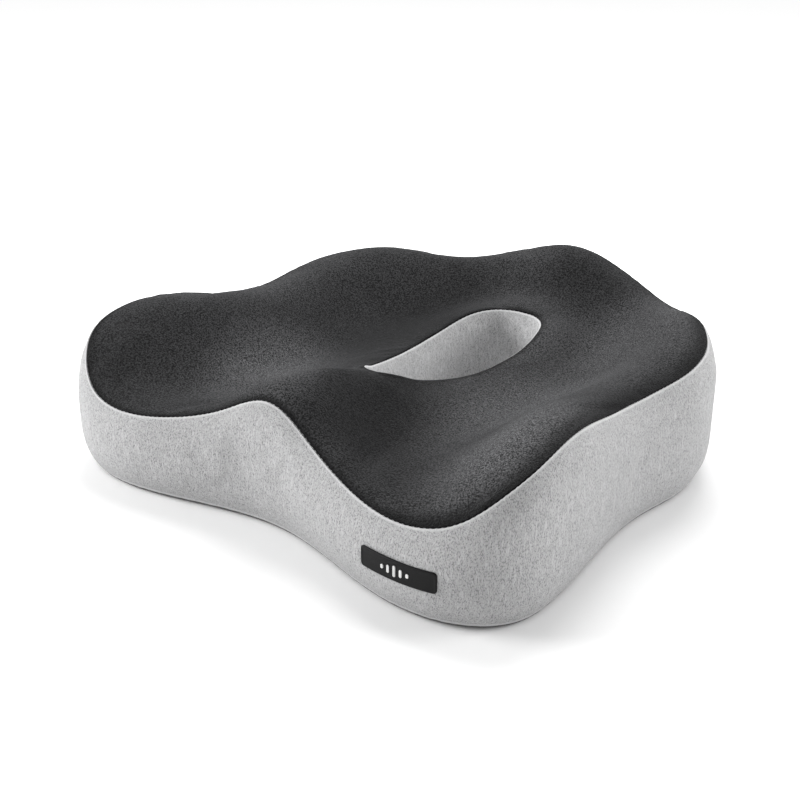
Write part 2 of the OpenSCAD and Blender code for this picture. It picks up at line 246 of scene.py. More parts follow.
def cutWall(part, panel):
    # gives the tall faces more rows, and matches the rows at the joins beside the zip
    if panel in (wellId, baseId):
        tall = [e for e in part.edges if not e.is_boundary and e.calc_length() > cutFacts["tall"]]
        bmesh.ops.subdivide_edges(part, edges=tall, cuts=5, use_grid_fill=True)
    if panel in (bandId, upperId):
        foot = cutFacts["bandFoot" if panel == bandId else "rearFoot"]
        tall = [e for e in part.edges
                if abs(min(v.co.z for v in e.verts) - foot) < cutFacts["near"]
                and max(v.co.z for v in e.verts) - foot > cutFacts["least"]]
        rows = 3 if panel == bandId else 1
        made = bmesh.ops.subdivide_edges(part, edges=tall, cuts=rows, use_grid_fill=True)
        if panel == bandId:
            fresh = {v for v in made["geom_inner"] if isinstance(v, bmesh.types.BMVert) and v.is_boundary}
            low, high = cutFacts["slot"]
            for side in (-1, 1):
                column = sorted((v for v in fresh if v.co.x * side > 0), key=lambda v: v.co.z)
                crown = max(w.co.z for v in column for e in v.link_edges for w in e.verts)
                for v, z in zip(column, (low, high, (high + crown) / 2)):
                    v.co.z = z


def outerSkin():
    skin = bmesh.new()
    for panel, name in enumerate(panels):
        part = bmesh.new()
        part.from_mesh(nodes[name].data)
        bmesh.ops.remove_doubles(part, verts=part.verts, dist=weldGap)
        part.normal_update()
        inner = [f for f in part.faces if not facesOut(f, panel)]
        bmesh.ops.delete(part, geom=inner, context="FACES")
        bmesh.ops.join_triangles(
            part, faces=part.faces, angle_face_threshold=math.radians(70),
            angle_shape_threshold=math.radians(180), topology_influence=1.2)
        cutWall(part, panel)
        before = len(skin.faces)
        takeIn(skin, part)
        skin.faces.ensure_lookup_table()
        for f in skin.faces[before:]:
            f.material_index = panel
    bmesh.ops.remove_doubles(skin, verts=skin.verts, dist=seamGap)
    return skin


def panelsAt(e):
    return {f.material_index for f in e.link_faces}


def isSeam(e):
    return len(panelsAt(e)) > 1


def isTucked(e):
    # the zip's end tabs lie flat against the rear bands, so those joins stay flat
    return isSeam(e) and panelsAt(e) not in ({tabId, upperId}, {tabId, lowerId})


def finerSkin(coarse, levels=2):
    # rounds the skin off and keeps its seams as crisp lines
    crease = coarse.edges.layers.float.get("crease_edge") or coarse.edges.layers.float.new("crease_edge")
    for e in coarse.edges:
        e[crease] = 1.0 if isSeam(e) else 0.0
    mesh = bpy.data.meshes.new("skinCage")
    coarse.to_mesh(mesh)
    cage = bpy.data.objects.new("skinCage", mesh)
    scene.collection.objects.link(cage)
    smooth = cage.modifiers.new("rounding", "SUBSURF")
    smooth.levels = smooth.render_levels = levels
    smooth.boundary_smooth = "PRESERVE_CORNERS"
    fine = bpy.data.meshes.new_from_object(cage.evaluated_get(bpy.context.evaluated_depsgraph_get()))
    bpy.data.objects.remove(cage)
    return fine


def seamIndices(mesh):
    bm = bmesh.new()
    bm.from_mesh(mesh)
    found = sorted({v.index for e in bm.edges if e.is_boundary or isSeam(e) for v in e.verts})
    bm.free()
    return found


def nearestSeam(points, spots):
    # for each point the nearest place on a seam, and how far off it is
    tree = kdtree.KDTree(len(spots))
    for i, p in enumerate(spots):
        tree.insert(p, i)
    tree.balance()
    near = [tree.find(p) for p in points]
    return np.array([n[0] for n in near]), np.array([n[2] for n in near])


def simulated(fine, held):
    # pressure under the cloth, with every seam held in place
    pad = bpy.data.objects.new("skinCloth", fine.copy())
    scene.collection.objects.link(pad)
    group = pad.vertex_groups.new(name="held")
    group.add(held, 1.0, "REPLACE")
    cloth = pad.modifiers.new("cloth", "CLOTH")
    cloth.settings.vertex_group_mass = "held"
    cloth.settings.use_pressure = True
    cloth.settings.uniform_pressure_force = skinFacts["pressure"]
    cloth.settings.effector_weights.gravity = 0
    cloth.settings.bending_stiffness = skinFacts["stiffness"]
    cloth.settings.shrink_min = skinFacts["shrink"]
    cloth.collision_settings.use_collision = False
    for n in range(1, skinFacts["frames"] + 1):
        scene.frame_set(n)
    swollen = bpy.data.meshes.new_from_object(pad.evaluated_get(bpy.context.evaluated_depsgraph_get()))
    scene.frame_set(1)
    bpy.data.objects.remove(pad)
    return pointsOf(swollen)


def liftCaps(points):
    # how far the padding may lift each point: little near the zip, the label and the floor
    cap = np.full(len(points), skinFacts["cap"])
    x, y, z = points.T
    angle = np.degrees(np.arctan2(y - zipFacts["middle"].y, x))
    above = abs(z - zipFacts["middle"].z)
    nearZip = (1 - ease(*skinFacts["zipArc"], abs(angle - 90))) * (1 - ease(*skinFacts["zipFade"], above))
    cap += (skinFacts["capAtZip"] - cap) * nearZip
    dx = abs(x - labelFacts["x"]) - labelFacts["long"] / 2
    dz = abs(z - labelFacts["z"]) - labelFacts["high"] / 2
    nearLabel = (1 - ease(0, skinFacts["labelFade"], np.maximum(dx, dz))) * (y < skinFacts["labelFront"])
    cap += (skinFacts["capAtLabel"] - cap) * nearLabel
    foot = skinFacts["footShare"]
    return cap * (foot + (1 - foot) * ease(*skinFacts["footFade"], z))


def puckers(points, normals, spots, far):
    # short creases that run away from the seams
    crease, fineCrease, patchScale = skinFacts["puckerScales"]
    waves = np.array([noise.noise(Vector(s) * crease) + 0.6 * noise.noise(Vector(s) * fineCrease)
                      for s in spots])
    patchy = np.array([0.5 + noise.noise(Vector(s) * patchScale) for s in spots])
    fade = ease(0, skinFacts["puckerStart"], far) * np.exp(-(far / skinFacts["puckerReach"]) ** 1.4)
    size = skinFacts["pucker"] * np.clip(patchy, 0.15, 1.2) * (points[:, 2] > skinFacts["puckerFoot"])
    return points + normals * (waves * fade * size)[:, None]


def tuckSeams(mesh):
    # draws each seam in between two small rolls of cloth
    bm = bmesh.new()
    bm.from_mesh(mesh)
    bevelEdges(bm, [e for e in bm.edges if isTucked(e)], skinFacts["roll"])
    bm.normal_update()
    for v in {v for e in bm.edges if isTucked(e) for v in e.verts}:
        inward = -v.normal * skinFacts["tuck"]
        if v.co.z < skinFacts["foot"]:
            inward = Vector((inward.x * 0.6, inward.y * 0.6, skinFacts["baseTuck"]))
        v.co += inward
    bm.to_mesh(mesh)
    bm.free()
    return mesh


coarse = outerSkin()
openEdges = sum(e.is_boundary for e in coarse.edges)
print("skin joined:", len(coarse.verts), "points,", openEdges, "edges round the zip")
fine = finerSkin(coarse)
held = seamIndices(fine)
rest = pointsOf(fine)
restNormals = normalsOf(fine)
seamSpots = rest[held]
spots, far = nearestSeam(rest, seamSpots)
lift = ((simulated(fine, held) - rest) * restNormals).sum(1)
print("padding simulated")
cap = liftCaps(rest)
lift = cap * (1 - np.exp(-np.maximum(lift, 0) / cap))
padded = puckers(rest + restNormals * lift[:, None], restNormals, spots, far)
restSkin = fine.copy()
movePoints(fine, padded)
cover = tuckSeams(fine)
print("cover shaped:", len(cover.polygons), "faces, lifted up to", (lift / mm).max().round(2), "mm")

# finishes


class Wire:
    # a shader socket that can be added, multiplied and so on
    def __init__(self, tree, socket=None):
        self.tree, self.socket = tree, socket

    def node(self, kind, inputs=None, pick=0, **settings):
        made = self.tree.nodes.new("ShaderNode" + kind)
        for key, value in settings.items():
            setattr(made, key, value)
        for key, value in (inputs or {}).items():
            if isinstance(value, Wire):
                self.tree.links.new(value.socket, made.inputs[key])
            else:
                made.inputs[key].default_value = value
        return Wire(self.tree, made.outputs[pick])

    def sum(self, kind, a, b):
        return self.node("Math", {0: a, 1: b}, operation=kind)

    def __add__(self, other):
        return self.sum("ADD", self, other)

    def __radd__(self, other):
        return self.sum("ADD", other, self)

    def __sub__(self, other):
        return self.sum("SUBTRACT", self, other)

    def __rsub__(self, other):
        return self.sum("SUBTRACT", other, self)

    def __mul__(self, other):
        return self.sum("MULTIPLY", self, other)

    def __rmul__(self, other):
        return self.sum("MULTIPLY", other, self)

    def __truediv__(self, other):
        return self.sum("DIVIDE", self, other)

    def __rtruediv__(self, other):
        return self.sum("DIVIDE", other, self)


def startFinish(name):
    finish = bpy.data.materials.new(name)
    finish.use_nodes = True
    finish.node_tree.nodes.clear()
    wire = Wire(finish.node_tree)
    return finish, wire, wire.node("TexCoord", pick=3)


def closeFinish(finish, colour, rough, bump=None, depth=0.0, **fixed):
    # fixed holds the values that are the same all over, set on the shader's own sockets
    tree = finish.node_tree
    shader = tree.nodes.new("ShaderNodeBsdfPrincipled")
    for key, value in fixed.items():
        shader.inputs[key.replace("_", " ")].default_value = value
    for key, value in (("Base Color", colour), ("Roughness", rough)):
        if isinstance(value, Wire):
            tree.links.new(value.socket, shader.inputs[key])
        else:
            shader.inputs[key].default_value = value
    if bump is not None:
        relief = bump.node("Bump", {"Height": bump, "Strength": 1.0, "Distance": depth})
        tree.links.new(relief.socket, shader.inputs["Normal"])
    out = tree.nodes.new("ShaderNodeOutputMaterial")
    tree.links.new(shader.outputs[0], out.inputs[0])
    return finish


def speckle(wire, place, scale, detail=2.0, rough=0.6, stretch=(1, 1, 1)):
    spot = wire.node("Mapping", {"Vector": place, "Scale": stretch})
    return wire.node("TexNoise", {"Vector": spot, "Scale": scale, "Detail": detail, "Roughness": rough})


def step(value, low, high):
    return value.node("MapRange", {"Value": value, "From Min": low, "From Max": high},
                      interpolation_type="SMOOTHSTEP")


def blendColours(share, a, b):
    return share.node("Mix", {0: share, 6: a, 7: b}, pick=2, data_type="RGBA")


def patch(wire, place, centre, size, turn=0.0):
    # 1 at the centre, fading to 0 at the edge of a soft oval
    oval = {"Vector": place, "Location": centre, "Rotation": (0, 0, turn), "Scale": size}
    moved = wire.node("Mapping", oval, vector_type="TEXTURE")
    return 1.0 - step(moved.node("VectorMath", {0: moved}, pick=1, operation="LENGTH"), 0.15, 1.0)


knitFacts = {
    "dark": (0.005, 0.005, 0.0052, 1), "fibre": (0.035, 0.035, 0.0362, 1), "light": (0.11, 0.11, 0.1135, 1),
    "pileToneAndPaintedLight": [  # painted light: soft ovals made lighter where light falls: centre, half sizes, turn, share
        ((-0.105, -0.085, 0.07), (0.06, 0.1, 0.2), 0.1, 1.3),
        ((-0.09, -0.13, 0.07), (0.07, 0.05, 0.2), 0.3, 0.8),
        ((-0.005, -0.165, 0.11), (0.035, 0.05, 0.2), 0.2, 0.7),
        ((-0.18, 0.0, 0.07), (0.05, 0.1, 0.2), 0.0, 0.4),
        ((-0.04, 0.185, 0.08), (0.06, 0.035, 0.2), 0.0, 0.5),
        ((0.11, 0.0, 0.07), (0.09, 0.2, 0.2), -0.25, 1.2),
        ((0.12, 0.1, 0.09), (0.1, 0.12, 0.2), 0.4, 1.0),
        ((0.045, 0.09, 0.08), (0.045, 0.08, 0.2), 0.0, 0.7),
        ((0.175, -0.135, 0.07), (0.075, 0.1, 0.2), 0.0, 1.5),
    ],
    "flat": [  # painted shade: soft ovals made darker where shade falls, same columns
        ((-0.07, 0.065, 0.07), (0.06, 0.13, 0.2), -0.1, 1.5),
        ((-0.04, -0.015, 0.07), (0.04, 0.065, 0.2), 0.3, 1.3),
        ((0.045, -0.11, 0.09), (0.06, 0.13, 0.2), 0.35, 1.5),
        ((0.08, -0.17, 0.09), (0.06, 0.06, 0.2), 0.0, 0.8),
        ((-0.155, -0.18, 0.09), (0.09, 0.07, 0.2), 0.0, 0.5),
        ((0.05, 0.19, 0.09), (0.07, 0.04, 0.2), 0.0, 0.7),
    ],
}


def charcoalKnit():
    finish, wire, place = startFinish("charcoal short-pile knit")
    fleck = speckle(wire, place, 780, 2, 0.5)
    fine = speckle(wire, place, 1050, 1, 0.6)
    broad = speckle(wire, place, 11, 3, 0.55)
    # random pile tone, then the painted light patches on top of it
    pileToneAndPaintedLight = step(broad, 0.42, 0.75) * 0.3
    for centre, size, turn, share in knitFacts["pileToneAndPaintedLight"]:
        pileToneAndPaintedLight = pileToneAndPaintedLight.sum("MAXIMUM", pileToneAndPaintedLight, patch(wire, place, centre, size, turn) * share)
    # flat here is random pile tone, then the painted shade patches on top of it
    flat = step(broad, 0.55, 0.3) * 0.2
    for centre, size, turn, share in knitFacts["flat"]:
        flat = flat.sum("MAXIMUM", flat, patch(wire, place, centre, size, turn) * share)
    base = blendColours(step(fleck, 0.39, 0.61), knitFacts["dark"], knitFacts["fibre"])
    # light flecks, more of them under the painted light
    base = blendColours(step(fine, 0.52, 0.64) * (0.22 + 0.2 * pileToneAndPaintedLight), base, knitFacts["light"])
    # painted shade along the seams, wider on the right-hand side
    seam = wire.node("Attribute", pick=2, attribute_name="seamFar")
    side = wire.node("SeparateXYZ", {0: place}, pick=0)
    paintedSeamShade = 1.0 - step(seam / (0.007 + 0.013 * step(side, 0.1, 0.18)), 0.1, 1.0)
    # painted light, painted shade and painted seam shade scale the colour
    shade = (1.0 + 0.95 * pileToneAndPaintedLight) * (1.0 - 0.42 * flat) * (1.0 - 0.8 * paintedSeamShade)
    base = base.node("VectorMath", {0: base, "Scale": shade}, operation="SCALE")
    return closeFinish(finish, base, 0.94 - 0.1 * pileToneAndPaintedLight, fleck * 0.6 + fine * 0.5, 0.0014,
                       Sheen_Weight=0.08, Sheen_Roughness=0.4, Sheen_Tint=(0.8, 0.81, 0.84, 1),
                       Specular_IOR_Level=0.12)


greyFacts = {"base": (0.42, 0.42, 0.423, 1), "slub": (0.6, 0.6, 0.605, 1), "deep": (0.19, 0.19, 0.193, 1)}


def greyKnit(name, lighter=1.0):
    finish, wire, place = startFinish(name)
    yarn = speckle(wire, place, 1500, 1, 0.6, (1, 1, 0.45))
    slub = speckle(wire, place, 760, 2, 0.7, (1, 1, 0.14))
    edge = wire.node("SeparateXYZ", {0: place}, pick=2)
    broad = speckle(wire, place, 22, 2, 0.5)
    tone = [tuple(c * lighter for c in greyFacts[key][:3]) + (1,) for key in ("deep", "base", "slub")]
    base = blendColours(step(yarn, 0.28, 0.56), tone[0], tone[1])
    base = blendColours(step(slub, 0.48, 0.68) * 0.45, base, tone[2])
    base = blendColours(step(broad, 0.4, 0.75) * 0.1, base, tone[0])
    seam = wire.node("Attribute", pick=2, attribute_name="seamFar")
    # painted highlight: the cloth beside each seam painted in the slub colour, as a lit lip
    base = blendColours((1.0 - step(seam, 0.0012, 0.0028)) * 0.7, base, tone[2])
    # painted highlight: a lit lip a few millimetres above the floor, in the slub colour
    base = blendColours((1.0 - step(edge, 0.0048, 0.0064)) * 0.7, base, tone[2])
    # painted shade: the lowest few millimetres of the grey cloth painted near black, as a dark contact line
    base = blendColours((1.0 - step(edge, 0.0024, 0.0038)) * 0.97, base, (0.015, 0.015, 0.015, 1))
    rows = wire.node("TexWave", {"Vector": place, "Scale": 300.0, "Distortion": 3.0, "Detail": 2.0,
                                 "Detail Scale": 4.0}, wave_type="BANDS", bands_direction="Z")
    relief = yarn * 0.55 + slub * 0.35 + rows * 0.12
    return closeFinish(finish, base, 0.86, relief, 0.0008, Sheen_Weight=0.12, Sheen_Roughness=0.5,
                       Sheen_Tint=(1, 1, 1, 1), Specular_IOR_Level=0.25)


def baseCloth():
    finish, wire, place = startFinish("black anti-slip cloth")
    flat = wire.node("Mapping", {"Vector": place, "Scale": (1, 1, 0.0)})
    cell = wire.node("TexVoronoi", {"Vector": flat, "Scale": 190.0, "Randomness": 0.0}, pick=0)
    drop = 1.0 - step(cell, 0.22, 0.3)
    weave = speckle(wire, place, 1400, 2, 0.6)
    base = blendColours(step(weave, 0.35, 0.7), (0.008, 0.008, 0.009, 1), (0.028, 0.028, 0.03, 1))
    base = blendColours(drop, base, (0.02, 0.02, 0.021, 1))
    return closeFinish(finish, base, 0.85 - 0.5 * drop, drop * 0.8 + weave * 0.25, 0.0007,
                       Specular_IOR_Level=0.4)


def softRubber(name, colour, rough, grain=2400, shine=0.5):
    finish, wire, place = startFinish(name)
    fine = speckle(wire, place, grain, 2, 0.5)
    broad = speckle(wire, place, 60, 2, 0.5)
    dark = tuple(c * 0.7 for c in colour) + (1,)
    base = blendColours(step(broad, 0.3, 0.7), dark, colour + (1,))
    return closeFinish(finish, base, rough + 0.14 * broad, fine, 0.00008, Specular_IOR_Level=shine)


def threadFinish(name, colour):
    finish, wire, place = startFinish(name)
    ply = speckle(wire, place, 2600, 2, 0.5)
    base = blendColours(step(ply, 0.3, 0.7), tuple(c * 0.6 for c in colour) + (1,), colour + (1,))
    return closeFinish(finish, base, 0.7, ply, 0.0001, Sheen_Weight=0.2)


def ribbedCloth(name, colour, scale, direction="Z", depth=0.0003, rough=0.75):
    finish, wire, place = startFinish(name)
    ribs = wire.node("TexWave", {"Vector": place, "Scale": scale, "Distortion": 0.6, "Detail": 1.0},
                     wave_type="BANDS", bands_direction=direction)
    yarn = speckle(wire, place, 1800, 2, 0.6)
    base = blendColours(ribs * 0.6 + yarn * 0.4, tuple(c * 0.55 for c in colour) + (1,), colour + (1,))
    return closeFinish(finish, base, rough, ribs * 0.7 + yarn * 0.3, depth, Sheen_Weight=0.1)


def brushedMetal(name, colour, rough):
    finish, wire, place = startFinish(name)
    streak = speckle(wire, place, 900, 3, 0.6, (1, 1, 7))
    worn = speckle(wire, place, 260, 3, 0.6)
    base = blendColours(step(worn, 0.35, 0.7), tuple(c * 0.75 for c in colour) + (1,), colour + (1,))
    return closeFinish(finish, base, rough + 0.18 * streak, streak, 0.00004, Metallic=1.0)


def foamFinish():
    finish, wire, place = startFinish("moulded foam")
    cells = wire.node("TexVoronoi", {"Vector": place, "Scale": 700.0}, pick=0)
    broad = speckle(wire, place, 14, 2, 0.5)
    base = blendColours(step(broad, 0.3, 0.7), (0.78, 0.70, 0.48, 1), (0.86, 0.80, 0.62, 1))
    return closeFinish(finish, base, 0.9, cells, 0.0005)


finishes = {
    "charcoal": charcoalKnit(),
    "grey": greyKnit("light grey melange knit"),
    # the well's lining is the same grey knit painted 1.25 times lighter, as painted light inside the well
    "well": greyKnit("light grey melange lining, painted lighter", 1.25),
    "base": baseCloth(),
    "dots": softRubber("printed silicone", (0.03, 0.03, 0.031), 0.35),
    "label": softRubber("label rubber", (0.004, 0.004, 0.0043), 0.5, shine=0.2),
    "mark": softRubber("white print", (0.75, 0.75, 0.74), 0.5),
    "pale thread": threadFinish("pale thread", (0.62, 0.62, 0.63)),
    "black thread": threadFinish("black thread", (0.02, 0.02, 0.021)),
    "satin": ribbedCloth("white satin ribbon", (0.85, 0.85, 0.83), 700, "Z", 0.00008, 0.45),
    "tape": ribbedCloth("zip tape", (0.03, 0.03, 0.032), 420),
    "coil": softRubber("zip nylon", (0.03, 0.03, 0.032), 0.38),
    "metal": brushedMetal("zip metal", (0.5, 0.51, 0.53), 0.3),
    "tricot": ribbedCloth("white tricot", (0.86, 0.86, 0.84), 520, "X", 0.0002, 0.85),
    "foam": foamFinish(),
}
print("finishes made")

# cover panels


def takePanel(skin, keep):
    bm = bmesh.new()
    bm.from_mesh(skin)
    bmesh.ops.delete(bm, geom=[f for f in bm.faces if f.material_index not in keep], context="FACES")
    crease = bm.edges.layers.float.get("crease_edge")
    if crease:
        bm.edges.layers.float.remove(crease)
    return bm


def noteSeams(piece):
    # keeps the distance to the nearest seam with each point, for the finish
    mesh = piece.data
    far = nearestSeam(pointsOf(mesh), seamSpots)[1]
    mesh.attributes.new("seamFar", "FLOAT", "POINT").data.foreach_set("value", far.astype(np.float32))


coverFacts = {"thick": 1.4 * mm, "fill": 0.9}
coverPieces = {}
for name, ids, finish, slotName, stands in (
        ("topPanel", [topId], "charcoal", "charcoal_knit", ["top_panel"]),
        ("sideBand", [bandId], "grey", "grey_knit", ["side_band"]),
        ("rearBandUpper", [upperId], "grey", "grey_knit", ["rear_band_upper"]),
        ("rearBandLower", [lowerId], "grey", "grey_knit", ["rear_band_lower"]),
        ("zipEndTabs", [tabId], "grey", "grey_knit", ["zip_end_tabs"]),
        ("wellLining", [wellId], "well", "grey_knit", ["well_lining"]),
        ("basePanel", [baseId], "base", "black_base_cloth", ["base_panel"])):
    piece = addPiece(name, takePanel(cover, ids), finishes[finish], stands=stands)
    noteSeams(piece)
    thicken(piece, coverFacts["thick"])
    coverPieces[name] = piece
print("cover panels cut:", len(coverPieces))

# inner cover and foam, from the same skin further in

innerFacts = {
    "linerDepth": 2.0 * mm, "linerThick": 0.5 * mm, "foamDepth": 2.7 * mm,
    "seamRoom": 1.8 * mm,    # how much deeper they lie under a seam
    "seamReach": 7 * mm,
    "zipRoom": 3.6 * mm,     # and behind the zip
    "zipArc": (42, 48), "zipLow": (13 * mm, 20 * mm), "zipHigh": (74 * mm, 84 * mm),
}


def closedSkin():
    bm = coarse.copy()
    rim = [e for e in bm.edges if e.is_boundary]
    level = [e for e in rim if abs(e.verts[0].co.z - e.verts[1].co.z) < 1 * mm]
    made = bmesh.ops.bridge_loops(bm, edges=level)
    for f in made["faces"]:
        f.material_index = lowerId
    bmesh.ops.remove_doubles(bm, verts=bm.verts, dist=seamGap)
    bmesh.ops.recalc_face_normals(bm, faces=bm.faces)
    for f in bm.faces:
        if f.material_index in (bandId, upperId, tabId):
            f.material_index = lowerId
    return bm


def sunkSkin(mesh, depth):
    points, normals = pointsOf(mesh), normalsOf(mesh)
    away = nearestSeam(points, seamSpots)[1]
    x, y, z = points.T
    angle = np.degrees(np.arctan2(y - zipFacts["middle"].y, x))
    nearZip = 1 - ease(*innerFacts["zipArc"], abs(angle - 90))
    nearZip *= ease(*innerFacts["zipLow"], z) * (1 - ease(*innerFacts["zipHigh"], z))
    upright = 1 - ease(0.5, 0.9, abs(normals[:, 2]))
    seamRoom = innerFacts["seamRoom"] * np.exp(-(away / innerFacts["seamReach"]) ** 2)
    sunk = depth + seamRoom + innerFacts["zipRoom"] * nearZip * upright
    movePoints(mesh, points - normals * sunk[:, None])
    return mesh


closed = closedSkin()
innerMesh = finerSkin(closed, 1)
linerMesh = sunkSkin(innerMesh.copy(), innerFacts["linerDepth"])
foamMesh = sunkSkin(innerMesh, innerFacts["foamDepth"])
closed.free()
for name, keep, stands in (("linerTop", [topId], "liner_top"), ("linerBand", [lowerId], "liner_band"),
                           ("linerWell", [wellId], "liner_well"), ("linerBase", [baseId], "liner_base")):
    piece = addPiece(name, takePanel(linerMesh, keep), finishes["tricot"],
                     stands=[stands])
    thicken(piece, innerFacts["linerThick"])
foam = addPiece("foamCore", foamMesh, finishes["foam"], stands=["foam_core"])
print("inner cover and foam made")

# seam threads

stitchFacts = {"pitch": 4.2 * mm, "long": 1.5 * mm, "thick": 0.26 * mm, "lean": 0.25, "raised": 0.1 * mm}


def seamLine(here, there):
    # the points of the seam between two sets of panels in order, with the skin's normal at each
    bm = bmesh.new()
    bm.from_mesh(cover)
    bm.normal_update()
    links = {}
    for e in bm.edges:
        ids = panelsAt(e)
        if len(ids) == 2 and ids & here and ids & there:
            a, b = e.verts
            links.setdefault(a, []).append(b)
            links.setdefault(b, []).append(a)
    start = next(iter(links))
    line, last, at = [start], None, start
    while True:
        onward = [v for v in links[at] if v is not last]
        if not onward or onward[0] is start:
            break
        last, at = at, onward[0]
        line.append(at)
    found = [(v.co.copy(), v.normal.copy()) for v in line]
    bm.free()
    return found + [found[0]]


def alongLine(line, pitch):
    # evenly spaced frames: place, direction, normal
    points = np.array([p for p, n in line])
    normals = np.array([n for p, n in line])
    run = np.concatenate([[0], np.cumsum(np.linalg.norm(np.diff(points, axis=0), axis=1))])
    count = max(2, int(run[-1] / pitch))
    stepAhead = 0.4 * mm

    def between(values, s):
        return Vector([np.interp(s, run, values[:, k]) for k in range(3)])

    for s in (np.arange(count) + 0.5) * run[-1] / count:
        place = between(points, s)
        ahead = between(points, min(s + stepAhead, run[-1]))
        yield place, (ahead - place).normalized(), between(normals, s).normalized()


def stitchAt(place, along, normal, lean):
    side = normal.cross(along).normalized()
    along = (along + side * lean).normalized()
    side = normal.cross(along).normalized()
    return Matrix.Translation(place) @ Matrix((side, normal, along)).transposed().to_4x4()


def sewLine(name, line, thread, stands=(), raised=0.0, pitch=stitchFacts["pitch"]):
    # plump stitches that dip at both ends
    stitch = bmesh.new()
    thick = stitchFacts["thick"]
    bmesh.ops.create_uvsphere(stitch, u_segments=6, v_segments=5, radius=1,
                              matrix=Matrix.Diagonal((thick, thick, stitchFacts["long"], 1)))
    places = [stitchAt(place + normal * raised, along, normal, stitchFacts["lean"])
              for place, along, normal in alongLine(line, pitch)]
    return addPiece(name, repeatShape(stitch, places), finishes[thread], stands=stands)


walls = {bandId, upperId, lowerId, tabId}
for name, here, there, thread, stands, raised in (
        ("topSeam", {topId}, walls, "pale thread", "top_seam", stitchFacts["raised"]),
        ("baseSeam", {baseId}, walls, "black thread", "base_seam", 0.0),
        ("wellTopSeam", {topId}, {wellId}, "pale thread", "well_top_seam", stitchFacts["raised"]),
        ("wellBaseSeam", {baseId}, {wellId}, "black thread", "well_base_seam", 0.0)):
    sewLine(name, seamLine(here, there), thread, [stands], raised)
print("seams sewn")

# grip dots

dotFacts = {
    "radius": 4 * mm, "dome": 1.3 * mm,
    "seat": 1.25 * mm,       # height of the dome's middle, just inside the base cloth
    "foot": 1.22 * mm, "crown": 0.25 * mm,    # where the dome is cut off below and above
}


def gripDots():
    # one low dome where each printed dot is
    cad = bmesh.new()
    cad.from_mesh(nodes["grip_dots"].data)
    bmesh.ops.remove_doubles(cad, verts=cad.verts, dist=weldGap)
    seen, centres = set(), []
    for v in cad.verts:
        if v in seen:
            continue
        island, todo = [], [v]
        while todo:
            w = todo.pop()
            if w not in seen:
                seen.add(w)
                island.append(w)
                todo.extend(e.other_vert(w) for e in w.link_edges)
        centres.append(sum((w.co for w in island), Vector()) / len(island))
    cad.free()
    dome = bmesh.new()
    flatness = dotFacts["dome"] / dotFacts["radius"]
    bmesh.ops.create_uvsphere(dome, u_segments=20, v_segments=12, radius=dotFacts["radius"],
                              matrix=Matrix.Diagonal((1, 1, flatness, 1)))
    for v in dome.verts:
        v.co.z = min(max(v.co.z, -dotFacts["foot"]), dotFacts["crown"])
    return repeatShape(dome, [Matrix.Translation((c.x, c.y, dotFacts["seat"])) for c in centres])


addPiece("gripDots", gripDots(), finishes["dots"], stands=["grip_dots"])
print("grip dots printed")

# label


def roundedPlate(long, high, corner, steps=5):
    bm = bmesh.new()
    bmesh.ops.create_grid(bm, x_segments=1, y_segments=1, size=0.5)
    bmesh.ops.scale(bm, vec=(long, high, 1), verts=bm.verts)
    bmesh.ops.bevel(bm, geom=list(bm.verts), offset=corner, segments=steps, profile=0.5,
                    affect="VERTICES", material=-1)
    return bm


def raisePlate(bm, thick):
    # a closed plate from its flat face, which stays as its back; gives the new top face
    made = bmesh.ops.extrude_face_region(bm, geom=list(bm.faces))
    lifted = [v for v in made["geom"] if isinstance(v, bmesh.types.BMVert)]
    bmesh.ops.translate(bm, vec=(0, 0, thick), verts=lifted)
    bmesh.ops.recalc_face_normals(bm, faces=bm.faces)
    return [f for f in made["geom"] if isinstance(f, bmesh.types.BMFace)]


def stepFace(bm, faces, inset, up):
    # a smaller face inside each face, moved up or down
    bmesh.ops.inset_region(bm, faces=faces, thickness=inset, depth=0)
    bmesh.ops.translate(bm, vec=(0, 0, up), verts=list({v for f in faces for v in f.verts}))


def sliceUp(bm, long, every):
    # cross cuts, so that the plate can bend round the cloth
    at = -long / 2 + every
    while at < long / 2 - every / 2:
        bmesh.ops.bisect_plane(bm, geom=bm.verts[:] + bm.edges[:] + bm.faces[:], dist=0.001 * mm,
                               plane_co=(at, 0, 0), plane_no=(1, 0, 0))
        at += every


def frontTree():
    # the side band without its puckers, for what is fixed on it
    bm = bmesh.new()
    bm.from_mesh(restSkin)
    bmesh.ops.delete(bm, geom=[f for f in bm.faces if f.material_index != bandId], context="FACES")
    tree = BVHTree.FromBMesh(bm)
    bm.free()
    return tree


labelTree = frontTree()


def ontoBand(bm, away):
    # wraps a flat plate round the front of the band: x along it, y up, z out of it
    for v in bm.verts:
        start = Vector((labelFacts["x"] + v.co.x, -0.4, labelFacts["z"] + v.co.y))
        hit, normal = labelTree.ray_cast(start, Vector((0, 1, 0)))[:2]
        if normal.y > 0:
            normal = -normal
        v.co = hit + Vector((normal.x, normal.y, 0)).normalized() * (v.co.z + away)


def labelPatch():
    bm = roundedPlate(labelFacts["long"], labelFacts["high"], labelFacts["corner"])
    top = raisePlate(bm, labelFacts["thick"])
    stepFace(bm, top, labelFacts["rim"], labelFacts["rimHigh"])
    stepFace(bm, top, labelFacts["slope"], -labelFacts["sunk"])
    bevelEdges(bm, sharpEdges(bm, 50), labelFacts["edge"])
    sliceUp(bm, labelFacts["long"], labelFacts["slice"])
    ontoBand(bm, labelFacts["seat"])
    bmesh.ops.recalc_face_normals(bm, faces=bm.faces)
    return bm


